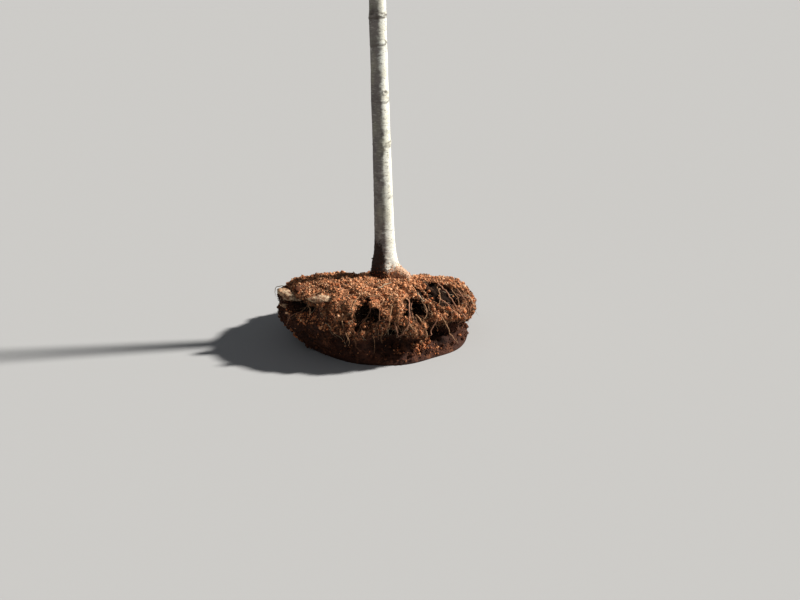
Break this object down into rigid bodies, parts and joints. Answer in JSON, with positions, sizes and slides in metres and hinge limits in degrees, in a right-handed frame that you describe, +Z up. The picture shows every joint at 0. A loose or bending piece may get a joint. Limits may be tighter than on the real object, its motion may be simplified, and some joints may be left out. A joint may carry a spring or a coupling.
{
  "type": "sapling with root ball",
  "caption": "Young bare shade tree with a straight pale trunk, ascending boughs and fine twigs, standing on its dug soil root ball with torn sides and hanging roots.",
  "frame": {"origin": "on the root ball's flat underside, straight below the foot of the trunk", "axes": "+Z up along the trunk, -Y towards the torn front of the ball, the ball is longest towards -X"},
  "size_m": [1.8076, 1.6723, 4.8177],
  "materials": {
    "bark": "matte",
    "twig_bark": "matte",
    "soil": "matte",
    "cut_wood": "matte"
  },
  "bodies": {
    "root": {"root_ball": "soil", "cut_root_1": "cut_wood", "cut_root_2": "cut_wood", "cut_root_3": "cut_wood", "trunk": "bark", "bough_01": "bark", "bough_02": "bark", "bough_03": "bark", "bough_04": "bark", "bough_05": "bark", "bough_06": "bark", "bough_07": "bark", "bough_08": "bark", "bough_09": "bark", "bough_10": "bark", "bough_11": "bark", "bough_12": "bark", "bough_13": "bark", "bough_14": "bark", "bough_15": "bark", "bough_16": "bark", "bough_17": "bark", "twigs_01": "twig_bark", "twigs_02": "twig_bark", "twigs_03": "twig_bark", "twigs_04": "twig_bark", "twigs_05": "twig_bark", "twigs_06": "twig_bark", "twigs_07": "twig_bark", "twigs_08": "twig_bark", "twigs_09": "twig_bark", "twigs_10": "twig_bark", "twigs_11": "twig_bark", "twigs_12": "twig_bark", "twigs_13": "twig_bark", "twigs_14": "twig_bark", "twigs_15": "twig_bark", "twigs_16": "twig_bark", "twigs_17": "twig_bark", "upper_twigs_1": "twig_bark", "upper_twigs_2": "twig_bark", "upper_twigs_3": "twig_bark", "upper_twigs_4": "twig_bark", "upper_twigs_5": "twig_bark", "upper_twigs_6": "twig_bark", "leader_twigs": "twig_bark"}
  },
  "joints": []
}
